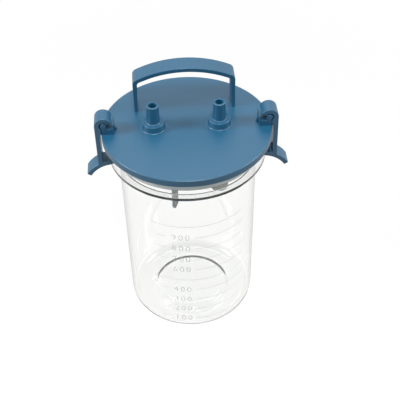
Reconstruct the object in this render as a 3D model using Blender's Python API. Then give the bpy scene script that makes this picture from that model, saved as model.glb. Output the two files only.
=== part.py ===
"""Suction canister for a ward: a clear jar with a clip-on lid, two tubing ports and a float shut-off valve.

Metres, +Z up. The origin is the centre of the jar's foot, on the surface it stands on.
+X runs from the patient port to the vacuum port, and -Y is the graduated front.
"""

import math

import bmesh
import bpy

# Jar: body, widened neck and foot. Radii are of the outer surface.
JAR_HEIGHT = 0.1774
BODY_TOP_R = 0.0540
BODY_DRAFT = 0.0010
BODY_WALL = 0.0020
FLOOR_WALL = 0.0022
FOOT_CORNER_R = 0.0100
STANDING_WIDTH = 0.0083
FOOT_RECESS = 0.0026
FOOT_STEP = 0.0012
NECK_STEP = 0.0072
NECK_WALL = 0.0022
NECK_LENGTH = 0.0202
NECK_LEDGE = 0.0014
NECK_FILLET_R = 0.0003
THROAT_ROUND_R = 0.0030
RIM_ROUND_R = 0.0008

# Play between pieces that seat on each other
SEAT_GAP = 0.0003

# Lid: a plate with an outer rim wall, and a plug wall that goes down inside the neck
LID_RIM_GAP = 0.0017
LID_PLATE = 0.0026
LID_RIM_HEIGHT = 0.00535
LID_RIM_WALL = 0.0026
LID_EDGE_R = 0.0011
PLUG_DEPTH = 0.0147
PLUG_WALL = 0.0018
PLUG_LIP = 0.0007

# Seal ring round the plug wall
SEAL_WALL = 0.0012
SEAL_HEIGHT = 0.0070
SEAL_BEAD_R = 0.0004

# Tubing ports: a spigot with a small lip at its tip, on a low flange
PORT_X = 0.0252
PORT_HEIGHT = 0.0204
PORT_BORE_R = 0.0031
PORT_TIP_R = 0.0050
PORT_WAIST_R = 0.0047
PORT_ROOT_R = 0.0052
PORT_LIP = 0.0012
PORT_EDGE_R = 0.0004
PORT_FILLET_R = 0.0009
FLANGE_R = 0.0087
FLANGE_FOOT_R = 0.0091
FLANGE_HEIGHT = 0.0054

# Carrying handle: a strap arched from leg to leg, behind the ports
HANDLE_HEIGHT = 0.0380
HANDLE_HALF_WIDTH = 0.0395
HANDLE_FRONT_Y = 0.0203
HANDLE_DEPTH = 0.0155
HANDLE_STRAP = 0.0035
HANDLE_LEG_FOOT = 0.0026
HANDLE_ARCH_R = 0.0854
HANDLE_SHOULDER_R = 0.0050
HANDLE_ARMPIT_R = 0.0024
HANDLE_EDGE_R = 0.0004

# Latch hinges: a pin on a stem, with a stepped stop on its inner side and a small rib behind the stop.
# Drops and rises are measured from the pivot, and so are the stem's two sides.
PIN_R = 0.00235
STEM_INNER = 0.0023
STEM_OUTER = 0.0015
STOP_DROP = 0.0032
STOP_LIP = 0.0009
STOP_LIP_RISE = 0.0009
GUSSET_REACH = 0.0023
GUSSET_HEIGHT = 0.0054
GUSSET_WALL = 0.0022

# Latches: a knuckle open on its inner side, an arm, and one arc that is hook foot and thumb tab.
# Their places are measured from the pivot, outward and up.
LATCH_WIDTH = 0.0135
KNUCKLE_R = 0.0068
KNUCKLE_GAP = 0.0011
PIN_PLAY = 0.00075
KNUCKLE_TIP_DEG = 158.0
KNUCKLE_TIP_BEVEL_DEG = 10.0
HEEL_GAP = 0.0004
HEEL_LIFT = 0.0005
HEEL_BEVEL = 0.0012
ARM_WALL = 0.0035
ARM_GAP = 0.0010
TAB_ARC_IN = 0.0053
TAB_TOP_R = 0.0253
TAB_WALL = 0.0035
TAB_TIP_DEG = 31.5
HOOK_GRIP = 0.0042
HOOK_RISE = 0.0023
HOOK_NOSE = 0.0023
HOOK_NOSE_RAMP = 0.0011
LATCH_FILLET_R = 0.0012
LATCH_EDGE_R = 0.00035

# Float valve under the vacuum port
SEAT_BOSS_R = 0.0059
SEAT_BOSS_LENGTH = 0.0094
SEAT_LIP_R = 0.0041
SEAT_LIP_HEIGHT = 0.0007
CAGE_WALL = 0.0012
CAGE_TOP_DROP = 0.0066
CAGE_LENGTH = 0.0543
CAGE_WINDOWS = 4
CAGE_WINDOW_WIDTH = 0.0060
CAGE_WINDOW_LENGTH = 0.0330
CAGE_WINDOW_DROP = 0.0130
CAP_FLANGE = 0.0016
CAP_PLUG = 0.0032
CAP_PLUG_WALL = 0.0012
CAP_DRAIN_R = 0.0024
FLOAT_PLAY = 0.0007
FLOAT_TRAVEL = 0.0100
FLOAT_WALL = 0.0011
FLOAT_CROWN = 0.0030
PLUNGER_R = 0.0047
PLUNGER_HEIGHT = 0.0022
PLUNGER_STUD_R = 0.0015
PLUNGER_STUD_LENGTH = 0.0021

# Drip tube: a socket on the spigot under the patient port, then an offset tube with a slanted tip.
# Drops are measured down from the lid's top.
SPIGOT_R = 0.0041
SPIGOT_LENGTH = 0.0098
DRIP_X = 0.0114
DRIP_TUBE_R = 0.0027
DRIP_BORE_R = 0.0017
DRIP_SOCKET_WALL = 0.0011
DRIP_SOCKET_DEPTH = 0.0092
DRIP_SHOULDER = 0.0034
DRIP_BEND_LENGTH = 0.0380
DRIP_TIP_DROP = 0.0828
DRIP_TIP_SLANT = 0.0054

# How finely round shapes are divided, how far a cutter runs past what it cuts,
# and how deep a joined shape reaches into what carries it
LARGE_STEPS = 72
SMALL_STEPS = 32
ARC_STEPS = 5
BEND_STEPS = 10
OVERRUN = 0.0010
SINK = 0.0006
WELD = 0.000001

# Sizes and places worked out from the sizes above
BODY_FOOT_R = BODY_TOP_R - BODY_DRAFT
STANDING_RING_IN_R = BODY_FOOT_R - FOOT_CORNER_R - STANDING_WIDTH
NECK_R = BODY_TOP_R + NECK_STEP
LID_R = NECK_R + LID_RIM_GAP + LID_RIM_WALL
LID_UNDER_Z = JAR_HEIGHT + SEAT_GAP
LID_TOP_Z = LID_UNDER_Z + LID_PLATE
LEDGE_Z = JAR_HEIGHT - NECK_LENGTH
PIVOT_X = LID_R + ARM_GAP + ARM_WALL - KNUCKLE_R
PIVOT_HEIGHT = KNUCKLE_R + KNUCKLE_GAP
PIVOT_Z = LID_TOP_Z + PIVOT_HEIGHT
STOP_REACH = KNUCKLE_R + SEAT_GAP + STOP_LIP
KNUCKLE_BORE_R = PIN_R + PIN_PLAY
HEEL_OUT = STEM_OUTER + HEEL_GAP
HEEL_DROP = PIVOT_HEIGHT - HEEL_LIFT
HOOK_REACH = PIVOT_X - NECK_R + HOOK_GRIP
TAB_ARC_DROP = PIVOT_Z - LEDGE_Z + SEAT_GAP + HOOK_RISE + TAB_TOP_R
NECK_BORE_R = NECK_R - NECK_WALL
SEAL_R = NECK_BORE_R - SEAT_GAP
PLUG_R = SEAL_R - SEAL_WALL - SEAT_GAP
PLUG_BOTTOM_Z = LID_TOP_Z - PLUG_DEPTH
VALVE_SEAT_Z = LID_UNDER_Z - SEAT_BOSS_LENGTH - SEAT_LIP_HEIGHT
CAGE_BORE_R = SEAT_BOSS_R + SEAT_GAP
CAGE_R = CAGE_BORE_R + CAGE_WALL
CAGE_TOP_Z = LID_TOP_Z - CAGE_TOP_DROP
CAGE_BOTTOM_Z = CAGE_TOP_Z - CAGE_LENGTH
FLOAT_R = CAGE_BORE_R - FLOAT_PLAY
FLOAT_BOTTOM_Z = CAGE_BOTTOM_Z + CAP_PLUG + SEAT_GAP
PLUNGER_TOP_Z = VALVE_SEAT_Z - SEAT_GAP - FLOAT_TRAVEL
FLOAT_TOP_Z = PLUNGER_TOP_Z - PLUNGER_HEIGHT - SEAT_GAP
SPIGOT_BOTTOM_Z = LID_UNDER_Z - SPIGOT_LENGTH

# Base colour with alpha, roughness and transmission of each material
MATERIALS = {
    "clear_plastic": ((0.86, 0.89, 0.89, 0.3), 0.08, 1.0),
    "blue_plastic": ((0.112, 0.235, 0.352, 1.0), 0.42, 0.0),
    "tube_plastic": ((0.20, 0.25, 0.26, 1.0), 0.35, 0.0),
    "seal_silicone": ((0.60, 0.62, 0.60, 1.0), 0.55, 0.0),
    "valve_plastic": ((0.30, 0.33, 0.28, 1.0), 0.45, 0.0),
    "valve_rubber": ((0.05, 0.05, 0.05, 1.0), 0.70, 0.0),
}
SHARP_DEG = 35.0


def clear_scene():
    for obj in list(bpy.data.objects):
        bpy.data.objects.remove(obj, do_unlink=True)


def material(name):
    made = bpy.data.materials.get(name)
    if made:
        return made
    colour, roughness, transmission = MATERIALS[name]
    made = bpy.data.materials.new(name)
    made.use_nodes = True
    shader = made.node_tree.nodes["Principled BSDF"]
    shader.inputs["Base Color"].default_value = colour
    shader.inputs["Roughness"].default_value = roughness
    shader.inputs["Metallic"].default_value = 0.0
    shader.inputs["Transmission Weight"].default_value = transmission
    return made


def object_from(builder, name, material_name, place=(0.0, 0.0, 0.0)):
    """An object at a place, with the bmesh's faces turned outward and shaded smooth between sharp edges."""
    bmesh.ops.recalc_face_normals(builder, faces=builder.faces)
    mesh = bpy.data.meshes.new(name)
    builder.to_mesh(mesh)
    builder.free()
    mesh.shade_smooth()
    mesh.set_sharp_from_angle(angle=math.radians(SHARP_DEG))
    mesh.materials.append(material(material_name))
    obj = bpy.data.objects.new(name, mesh)
    obj.location = place
    bpy.context.scene.collection.objects.link(obj)
    return obj


def boolean(obj, helper, operation):
    """Joins a helper shape to an object, or cuts it out, and hides the helper."""
    helper.hide_render = True
    helper.display_type = "WIRE"
    modifier = obj.modifiers.new(helper.name, "BOOLEAN")
    modifier.operation = operation
    modifier.solver = "EXACT"
    modifier.object = helper


def arc(centre, radius, start_deg, end_deg, steps=ARC_STEPS):
    """Points along an arc in a plane, both ends included."""
    points = []
    for index in range(steps + 1):
        angle = math.radians(start_deg + (end_deg - start_deg) * index / steps)
        points.append((centre[0] + radius * math.cos(angle), centre[1] + radius * math.sin(angle)))
    return points


def turned(name, outline, material_name, steps=LARGE_STEPS, ring=False, x=0.0):
    """A solid of revolution about the vertical line at x. A ring's outline closes on itself."""
    builder = bmesh.new()
    points = [builder.verts.new((radius, 0.0, height)) for radius, height in outline]
    pairs = list(zip(points, points[1:]))
    if ring:
        pairs.append((points[-1], points[0]))
    edges = [builder.edges.new(pair) for pair in pairs]
    bmesh.ops.spin(
        builder,
        geom=points + edges,
        axis=(0.0, 0.0, 1.0),
        cent=(0.0, 0.0, 0.0),
        steps=steps,
        angle=math.tau,
        use_merge=True,
    )
    bmesh.ops.remove_doubles(builder, verts=builder.verts, dist=WELD)
    return object_from(builder, name, material_name, (x, 0.0, 0.0))


def extruded(name, outline, low_y, high_y, material_name, edge_r=0.0, place=(0.0, 0.0, 0.0)):
    """A prism along Y. Its outline is (x, z) points, and its two end faces have rounded rims."""
    builder = bmesh.new()
    face = builder.faces.new([builder.verts.new((x, low_y, z)) for x, z in outline])
    made = bmesh.ops.extrude_face_region(builder, geom=[face])
    moved = [item for item in made["geom"] if isinstance(item, bmesh.types.BMVert)]
    bmesh.ops.translate(builder, verts=moved, vec=(0.0, high_y - low_y, 0.0))
    if edge_r:
        rims = [edge for edge in builder.edges if edge.verts[0].co.y == edge.verts[1].co.y]
        bmesh.ops.bevel(builder, geom=rims, offset=edge_r, segments=2, profile=0.5, affect="EDGES")
    return object_from(builder, name, material_name, place)


def make_jar():
    """The clear jar: drafted body, rounded foot, raised floor, and a wider neck that stands on a ledge."""
    floor_z = FOOT_RECESS + FLOOR_WALL
    shelf_z = LEDGE_Z + NECK_LEDGE
    foot_in_r = BODY_FOOT_R - BODY_WALL
    throat_r = BODY_TOP_R - BODY_WALL
    corner_in_r = FOOT_CORNER_R - BODY_WALL
    rim_z = JAR_HEIGHT - RIM_ROUND_R
    outline = [(0.0, FOOT_RECESS), (STANDING_RING_IN_R - FOOT_STEP, FOOT_RECESS), (STANDING_RING_IN_R, 0.0)]
    outline += arc((BODY_FOOT_R - FOOT_CORNER_R, FOOT_CORNER_R), FOOT_CORNER_R, -90.0, 0.0)
    outline += [(BODY_TOP_R, LEDGE_Z), (NECK_R, LEDGE_Z)]
    outline += arc((NECK_R - RIM_ROUND_R, rim_z), RIM_ROUND_R, 0.0, 90.0, 2)
    outline += arc((NECK_BORE_R + RIM_ROUND_R, rim_z), RIM_ROUND_R, 90.0, 180.0, 2)
    outline += arc((NECK_BORE_R - NECK_FILLET_R, shelf_z + NECK_FILLET_R), NECK_FILLET_R, 0.0, -90.0, 2)
    outline += arc((throat_r + THROAT_ROUND_R, shelf_z - THROAT_ROUND_R), THROAT_ROUND_R, 90.0, 180.0, 4)
    outline += arc((foot_in_r - corner_in_r, FLOOR_WALL + corner_in_r), corner_in_r, 0.0, -90.0)
    outline += [(STANDING_RING_IN_R, FLOOR_WALL), (STANDING_RING_IN_R - FOOT_STEP, floor_z), (0.0, floor_z)]
    return turned("jar", outline, "clear_plastic")


def make_lid():
    """The lid moulding: plate, rim and plug walls, both ports, the handle and the hinges of both latches."""
    lid = turned("lid", lid_outline(), "blue_plastic")
    for x, name in ((-PORT_X, "patient"), (PORT_X, "vacuum")):
        boolean(lid, port_shape(name, x), "UNION")
    boolean(lid, spigot_shape(), "UNION")
    boolean(lid, seat_boss_shape(), "UNION")
    boolean(lid, handle_shape(), "UNION")
    for side, name in ((-1.0, "left"), (1.0, "right")):
        boolean(lid, hinge_base_shape(name, side), "UNION")
        boolean(lid, hinge_pin_shape(name, side), "UNION")
        boolean(lid, gusset_shape(name, side), "UNION")
    for x, name in ((-PORT_X, "patient"), (PORT_X, "vacuum")):
        boolean(lid, bore_cutter(name, x), "DIFFERENCE")
    return lid


def lid_outline():
    rim_z = LID_TOP_Z - LID_RIM_HEIGHT
    channel_r = LID_R - LID_RIM_WALL
    plug_in_r = PLUG_R - PLUG_WALL
    lip_r = PLUG_R + SEAL_WALL / 2
    lip_z = PLUG_BOTTOM_Z + PLUG_LIP
    outline = [(0.0, LID_TOP_Z)]
    outline += arc((LID_R - LID_EDGE_R, LID_TOP_Z - LID_EDGE_R), LID_EDGE_R, 90.0, 0.0, 4)
    outline += [(LID_R, rim_z), (channel_r, rim_z), (channel_r, LID_UNDER_Z), (PLUG_R, LID_UNDER_Z)]
    outline += [(PLUG_R, lip_z), (lip_r, lip_z), (lip_r, PLUG_BOTTOM_Z), (plug_in_r, PLUG_BOTTOM_Z)]
    outline += [(plug_in_r, LID_UNDER_Z), (0.0, LID_UNDER_Z)]
    return outline


def port_shape(name, x):
    """One tubing port above the plate, with fillets at the spigot's root and at the flange's foot."""
    tip_z = LID_TOP_Z + PORT_HEIGHT
    flange_z = LID_TOP_Z + FLANGE_HEIGHT
    foot_r = FLANGE_FOOT_R + PORT_FILLET_R
    outline = [(0.0, tip_z)]
    outline += arc((PORT_TIP_R - PORT_EDGE_R, tip_z - PORT_EDGE_R), PORT_EDGE_R, 90.0, 0.0, 2)
    outline += [(PORT_WAIST_R, tip_z - PORT_LIP)]
    outline += arc((PORT_ROOT_R + PORT_FILLET_R, flange_z + PORT_FILLET_R), PORT_FILLET_R, 180.0, 270.0, 3)
    outline += arc((FLANGE_R - PORT_EDGE_R, flange_z - PORT_EDGE_R), PORT_EDGE_R, 90.0, 0.0, 2)
    outline += arc((foot_r, LID_TOP_Z + PORT_FILLET_R), PORT_FILLET_R, 180.0, 270.0, 3)
    outline += [(foot_r, LID_TOP_Z - SINK), (0.0, LID_TOP_Z - SINK)]
    return turned(name + "_port_shape", outline, "blue_plastic", SMALL_STEPS, x=x)


def spigot_shape():
    """The short spigot under the patient port, onto which the drip tube pushes."""
    outline = [(0.0, SPIGOT_BOTTOM_Z), (SPIGOT_R - PORT_EDGE_R, SPIGOT_BOTTOM_Z)]
    outline += [(SPIGOT_R, SPIGOT_BOTTOM_Z + PORT_EDGE_R), (SPIGOT_R, LID_UNDER_Z + SINK), (0.0, LID_UNDER_Z + SINK)]
    return turned("spigot_shape", outline, "blue_plastic", SMALL_STEPS, x=-PORT_X)


def seat_boss_shape():
    """The boss under the vacuum port: the cage clips round it, and its raised lip is the valve seat."""
    boss_z = LID_UNDER_Z - SEAT_BOSS_LENGTH
    outline = [(0.0, VALVE_SEAT_Z), (SEAT_LIP_R, VALVE_SEAT_Z), (SEAT_LIP_R + SEAT_LIP_HEIGHT, boss_z)]
    outline += [(SEAT_BOSS_R, boss_z), (SEAT_BOSS_R, LID_UNDER_Z + SINK), (0.0, LID_UNDER_Z + SINK)]
    return turned("seat_boss_shape", outline, "blue_plastic", SMALL_STEPS, x=PORT_X)


def bore_cutter(name, x):
    low_z = min(SPIGOT_BOTTOM_Z, VALVE_SEAT_Z) - OVERRUN
    high_z = LID_TOP_Z + PORT_HEIGHT + OVERRUN
    outline = [(0.0, low_z), (PORT_BORE_R, low_z), (PORT_BORE_R, high_z), (0.0, high_z)]
    return turned(name + "_bore_cutter", outline, "blue_plastic", SMALL_STEPS, x=x)


def arch(half_width, radius, corner_r):
    """An arched top, from +x to -x: a corner, the arch about the common centre, and the other corner."""
    centre_z = LID_TOP_Z + HANDLE_HEIGHT - HANDLE_ARCH_R
    corner_x = half_width - corner_r
    corner_z = centre_z + math.sqrt((radius - corner_r) ** 2 - corner_x ** 2)
    turn = math.degrees(math.atan2(corner_z - centre_z, corner_x))
    points = arc((corner_x, corner_z), corner_r, 0.0, turn, ARC_STEPS)
    points += arc((0.0, centre_z), radius, turn, 180.0 - turn, 4 * ARC_STEPS)[1:-1]
    points += arc((-corner_x, corner_z), corner_r, 180.0 - turn, 180.0, ARC_STEPS)
    return points


def handle_shape():
    """The strap: legs that thicken upward, round shoulders and an arched crown of even thickness."""
    foot_z = LID_TOP_Z - SINK
    leg_in_x = HANDLE_HALF_WIDTH - HANDLE_LEG_FOOT
    outline = [(HANDLE_HALF_WIDTH, foot_z)]
    outline += arch(HANDLE_HALF_WIDTH, HANDLE_ARCH_R, HANDLE_SHOULDER_R)
    outline += [(-HANDLE_HALF_WIDTH, foot_z), (-leg_in_x, foot_z)]
    outline += arch(HANDLE_HALF_WIDTH - HANDLE_STRAP, HANDLE_ARCH_R - HANDLE_STRAP, HANDLE_ARMPIT_R)[::-1]
    outline += [(leg_in_x, foot_z)]
    back_y = HANDLE_FRONT_Y + HANDLE_DEPTH
    return extruded("handle_shape", outline, HANDLE_FRONT_Y, back_y, "blue_plastic", HANDLE_EDGE_R)


def hinge_base_shape(name, side):
    """The stem under a hinge pin, and the stepped stop that the open knuckle's tip comes down to."""
    foot = -PIVOT_HEIGHT - SINK
    lip_in = STOP_LIP - STOP_REACH
    outline = [(-STOP_REACH, foot), (STEM_OUTER, foot), (STEM_OUTER, 0.0), (-STEM_INNER, 0.0)]
    outline += [(-STEM_INNER, -STOP_DROP), (lip_in, -STOP_DROP)]
    outline += [(lip_in, STOP_LIP_RISE), (-STOP_REACH, STOP_LIP_RISE)]
    outline = [(side * x, z) for x, z in outline]
    place = (side * PIVOT_X, 0.0, PIVOT_Z)
    half = LATCH_WIDTH / 2 - LATCH_EDGE_R
    return extruded(name + "_hinge_base_shape", outline, -half, half, "blue_plastic", 0.0, place)


def hinge_pin_shape(name, side):
    outline = arc((0.0, 0.0), PIN_R, 0.0, 360.0, SMALL_STEPS)[:-1]
    half = LATCH_WIDTH / 2
    place = (side * PIVOT_X, 0.0, PIVOT_Z)
    return extruded(name + "_hinge_pin_shape", outline, -half, half, "blue_plastic", LATCH_EDGE_R, place)


def gusset_shape(name, side):
    """A triangular rib that props the middle of a hinge's stop from the inner side."""
    foot = -PIVOT_HEIGHT - SINK
    prop = STOP_LIP / 2 - STOP_REACH
    outline = [(-(STOP_REACH + GUSSET_REACH), foot), (prop, foot), (prop, GUSSET_HEIGHT - PIVOT_HEIGHT)]
    outline = [(side * x, z) for x, z in outline]
    place = (side * PIVOT_X, 0.0, PIVOT_Z)
    half = GUSSET_WALL / 2
    return extruded(name + "_gusset_shape", outline, -half, half, "blue_plastic", 0.0, place)


def make_seal():
    """The seal ring between the plug wall and the neck, with a bead at its upper and lower edge."""
    low_z = PLUG_BOTTOM_Z + PLUG_LIP + SEAT_GAP
    high_z = low_z + SEAL_HEIGHT
    inner_r = SEAL_R - SEAL_WALL
    waist_r = SEAL_R - SEAL_BEAD_R
    outline = [(inner_r, low_z)]
    outline += arc((waist_r, low_z + SEAL_BEAD_R), SEAL_BEAD_R, -90.0, 60.0, 3)
    outline += arc((waist_r, high_z - SEAL_BEAD_R), SEAL_BEAD_R, -60.0, 90.0, 3)
    outline += [(inner_r, high_z)]
    return turned("lid_seal", outline, "seal_silicone", ring=True)


def latch_outline():
    """The latch's side shape about its pivot, with +x outward. It runs clockwise from the knuckle's tip."""
    tab_centre = (-TAB_ARC_IN, -TAB_ARC_DROP)
    tab_low_r = TAB_TOP_R - TAB_WALL
    arm_out = KNUCKLE_R
    arm_in = KNUCKLE_R - ARM_WALL
    nose_top = LEDGE_Z - SEAT_GAP - PIVOT_Z

    def tab_angle(x, radius):
        return math.degrees(math.acos((x - tab_centre[0]) / radius))

    def on_tab(x, radius):
        return (x, tab_centre[1] + math.sqrt(radius ** 2 - (x - tab_centre[0]) ** 2))

    points = arc((0.0, 0.0), KNUCKLE_R, KNUCKLE_TIP_DEG, 0.0, 3 * ARC_STEPS)
    outer = on_tab(arm_out + LATCH_FILLET_R, TAB_TOP_R + LATCH_FILLET_R)
    outer_deg = tab_angle(outer[0], TAB_TOP_R + LATCH_FILLET_R)
    points += arc(outer, LATCH_FILLET_R, 180.0, 180.0 + outer_deg, 3)
    points += arc(tab_centre, TAB_TOP_R, outer_deg, TAB_TIP_DEG, ARC_STEPS)[1:]
    points += arc(tab_centre, tab_low_r, TAB_TIP_DEG, tab_angle(-HOOK_REACH, tab_low_r), 2 * ARC_STEPS)
    points += [(-HOOK_REACH, nose_top - HOOK_NOSE_RAMP), (HOOK_NOSE_RAMP - HOOK_REACH, nose_top)]
    points += [(HOOK_NOSE - HOOK_REACH, nose_top), on_tab(HOOK_NOSE - HOOK_REACH, TAB_TOP_R)]
    inner = on_tab(arm_in - LATCH_FILLET_R, TAB_TOP_R + LATCH_FILLET_R)
    inner_deg = tab_angle(inner[0], TAB_TOP_R + LATCH_FILLET_R)
    points += arc(inner, LATCH_FILLET_R, 180.0 + inner_deg, 360.0, 4)
    points += [(arm_in, -HEEL_DROP - HEEL_BEVEL), (HEEL_OUT, -HEEL_DROP)]
    heel_deg = math.degrees(math.acos(HEEL_OUT / KNUCKLE_BORE_R))
    inner_tip_deg = KNUCKLE_TIP_DEG - KNUCKLE_TIP_BEVEL_DEG
    points += arc((0.0, 0.0), KNUCKLE_BORE_R, -heel_deg, inner_tip_deg, 3 * ARC_STEPS)
    return points


def make_latch(name, side):
    """One snap latch, hung on its pin and hooked under the neck's ledge."""
    outline = [(side * x, z) for x, z in latch_outline()]
    half = LATCH_WIDTH / 2
    place = (side * PIVOT_X, 0.0, PIVOT_Z)
    return extruded(name, outline, -half, half, "blue_plastic", LATCH_EDGE_R, place)


def make_cage():
    """The open cage that guides the float, with round-ended windows all round."""
    outline = [(CAGE_BORE_R, CAGE_TOP_Z), (CAGE_R, CAGE_TOP_Z), (CAGE_R, CAGE_BOTTOM_Z), (CAGE_BORE_R, CAGE_BOTTOM_Z)]
    cage = turned("float_cage", outline, "valve_plastic", SMALL_STEPS, ring=True, x=PORT_X)
    for index in range(CAGE_WINDOWS):
        boolean(cage, window_cutter(index), "DIFFERENCE")
    return cage


def window_cutter(index):
    """A round-ended slot, as a prism that crosses the cage's wall on one side."""
    half = CAGE_WINDOW_WIDTH / 2
    high = CAGE_TOP_Z - CAGE_WINDOW_DROP - half
    low = high - CAGE_WINDOW_LENGTH + CAGE_WINDOW_WIDTH
    outline = arc((0.0, high), half, 0.0, 180.0) + arc((0.0, low), half, 180.0, 360.0)
    name = "cage_window_cutter_" + str(index)
    cutter = extruded(name, outline, CAGE_BORE_R / 2, CAGE_R + OVERRUN, "valve_plastic", 0.0, (PORT_X, 0.0, 0.0))
    cutter.rotation_euler = (0.0, 0.0, math.tau * (index + 0.5) / CAGE_WINDOWS)
    return cutter


def make_cage_cap():
    """The cap that closes the cage's lower end and leaves a drain hole."""
    flange_z = CAGE_BOTTOM_Z - SEAT_GAP
    plug_r = CAGE_BORE_R - SEAT_GAP
    plug_in_r = plug_r - CAP_PLUG_WALL
    plug_z = CAGE_BOTTOM_Z + CAP_PLUG
    outline = [(CAP_DRAIN_R, flange_z - CAP_FLANGE), (CAGE_R, flange_z - CAP_FLANGE), (CAGE_R, flange_z)]
    outline += [(plug_r, flange_z), (plug_r, plug_z), (plug_in_r, plug_z), (plug_in_r, flange_z)]
    outline += [(CAP_DRAIN_R, flange_z)]
    return turned("cage_cap", outline, "valve_plastic", SMALL_STEPS, ring=True, x=PORT_X)


def make_float():
    """The float: a cup open below, with a blind hole in its crown for the plunger seal's stud."""
    crown_z = FLOAT_TOP_Z - FLOAT_CROWN
    hole_z = FLOAT_TOP_Z - PLUNGER_STUD_LENGTH - SEAT_GAP
    hole_r = PLUNGER_STUD_R + SEAT_GAP
    inner_r = FLOAT_R - FLOAT_WALL
    ceiling_z = hole_z - FLOAT_WALL
    outline = [(0.0, hole_z), (hole_r, hole_z), (hole_r, FLOAT_TOP_Z), (PLUNGER_R, FLOAT_TOP_Z), (FLOAT_R, crown_z)]
    outline += [(FLOAT_R, FLOAT_BOTTOM_Z), (inner_r, FLOAT_BOTTOM_Z), (inner_r, ceiling_z), (0.0, ceiling_z)]
    return turned("float", outline, "valve_plastic", SMALL_STEPS, x=PORT_X)


def make_plunger_seal():
    """The rubber seal on the float's crown: a disc with a stud below and a bevelled upper edge."""
    low_z = FLOAT_TOP_Z + SEAT_GAP
    stud_z = FLOAT_TOP_Z - PLUNGER_STUD_LENGTH
    bevel = PLUNGER_HEIGHT / 3
    outline = [(0.0, stud_z), (PLUNGER_STUD_R, stud_z), (PLUNGER_STUD_R, low_z), (PLUNGER_R, low_z)]
    outline += [(PLUNGER_R, PLUNGER_TOP_Z - bevel), (PLUNGER_R - bevel, PLUNGER_TOP_Z), (0.0, PLUNGER_TOP_Z)]
    return turned("float_seal", outline, "valve_rubber", SMALL_STEPS, x=PORT_X)


def make_drip_tube():
    """The drip tube: rings carried down an offset path, outside to the slanted tip and back up the bore."""
    socket_bottom = SPIGOT_BOTTOM_Z - SEAT_GAP
    socket_top = socket_bottom + DRIP_SOCKET_DEPTH
    socket_bore_r = SPIGOT_R + SEAT_GAP
    socket_r = socket_bore_r + DRIP_SOCKET_WALL
    shoulder = socket_bottom - DRIP_SOCKET_WALL
    bend_top = shoulder - DRIP_SHOULDER
    tip = LID_TOP_Z - DRIP_TIP_DROP

    def centre_x(z):
        share = min(max((bend_top - z) / DRIP_BEND_LENGTH, 0.0), 1.0)
        return (PORT_X - DRIP_X) * (1.0 - math.cos(math.pi * share)) / 2

    def ring(builder, z, radius, slant=0.0):
        nudge = DRIP_BEND_LENGTH / BEND_STEPS / BEND_STEPS
        lean = math.atan2(centre_x(z + nudge) - centre_x(z - nudge), 2 * nudge)
        verts = []
        for index in range(SMALL_STEPS // 2):
            angle = math.tau * index / (SMALL_STEPS // 2)
            across = radius * math.cos(angle)
            x = centre_x(z) + across * math.cos(lean)
            rise = slant * max(across, 0.0) / DRIP_TUBE_R - across * math.sin(lean)
            verts.append(builder.verts.new((x, radius * math.sin(angle), z + rise)))
        return verts

    bend = [bend_top - DRIP_BEND_LENGTH * index / BEND_STEPS for index in range(BEND_STEPS + 1)]
    outside = [(socket_top, socket_r), (shoulder, socket_r)] + [(z, DRIP_TUBE_R) for z in bend]
    inside = [(z, DRIP_BORE_R) for z in bend[::-1]]
    inside += [(socket_bottom, DRIP_BORE_R), (socket_bottom, socket_bore_r), (socket_top, socket_bore_r)]
    builder = bmesh.new()
    rings = [ring(builder, z, radius) for z, radius in outside]
    rings.append(ring(builder, tip, DRIP_TUBE_R, DRIP_TIP_SLANT))
    rings.append(ring(builder, tip, DRIP_BORE_R, DRIP_TIP_SLANT))
    rings += [ring(builder, z, radius) for z, radius in inside]
    for upper, lower in zip(rings, rings[1:] + rings[:1]):
        for index in range(len(upper)):
            after = (index + 1) % len(upper)
            builder.faces.new((upper[index], upper[after], lower[after], lower[index]))
    return object_from(builder, "drip_tube", "tube_plastic", (-PORT_X, 0.0, 0.0))


def main():
    clear_scene()
    make_jar()
    make_lid()
    make_seal()
    make_latch("left_latch", -1.0)
    make_latch("right_latch", 1.0)
    make_cage()
    make_cage_cap()
    make_float()
    make_plunger_seal()
    make_drip_tube()


main()
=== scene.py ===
"""Looks of the suction canister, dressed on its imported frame. Metres, +Z up, -Y towards the viewer.

The clear jar, the blue lid, its seal and both latches are turned, extruded and bevelled again here
with finer curves than the frame holds. The valve and the drip tube keep the frame's own shapes, smoothed.
"""

import math

import bmesh
import bpy
from mathutils import Matrix, Vector


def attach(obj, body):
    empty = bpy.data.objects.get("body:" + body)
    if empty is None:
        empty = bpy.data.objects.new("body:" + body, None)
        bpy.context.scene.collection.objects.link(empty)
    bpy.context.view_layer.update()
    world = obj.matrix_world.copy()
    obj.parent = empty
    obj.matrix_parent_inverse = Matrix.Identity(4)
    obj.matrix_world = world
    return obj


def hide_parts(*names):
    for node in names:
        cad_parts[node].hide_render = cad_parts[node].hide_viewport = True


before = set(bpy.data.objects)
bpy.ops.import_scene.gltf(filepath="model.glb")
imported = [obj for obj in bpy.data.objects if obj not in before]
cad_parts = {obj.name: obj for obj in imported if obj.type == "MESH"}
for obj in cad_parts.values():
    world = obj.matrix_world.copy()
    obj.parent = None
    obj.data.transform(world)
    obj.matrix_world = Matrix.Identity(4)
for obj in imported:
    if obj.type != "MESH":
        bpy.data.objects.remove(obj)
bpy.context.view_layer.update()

# Jar: its foot and floor run in gentle ramps from the standing ring up to the raised middle
JAR_HEIGHT = 0.1774
BODY_TOP_R = 0.0540
BODY_FOOT_R = 0.0530
BODY_WALL = 0.0020
FLOOR_WALL = 0.0022
FOOT_CORNER_R = 0.0100
# Painted shade: the jar's clear plastic is greyed from the foot up to this height, standing in for the shade
# at its base
FOOT_SHADE_TOP_Z = 0.0066
STANDING_RING_IN_R = 0.0347
FOOT_RECESS = 0.0026
FOOT_RAMP = 0.0065
FLOOR_RAMP_START_R = 0.0387
FLOOR_RAMP = 0.0140
NECK_R = 0.0612
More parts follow.
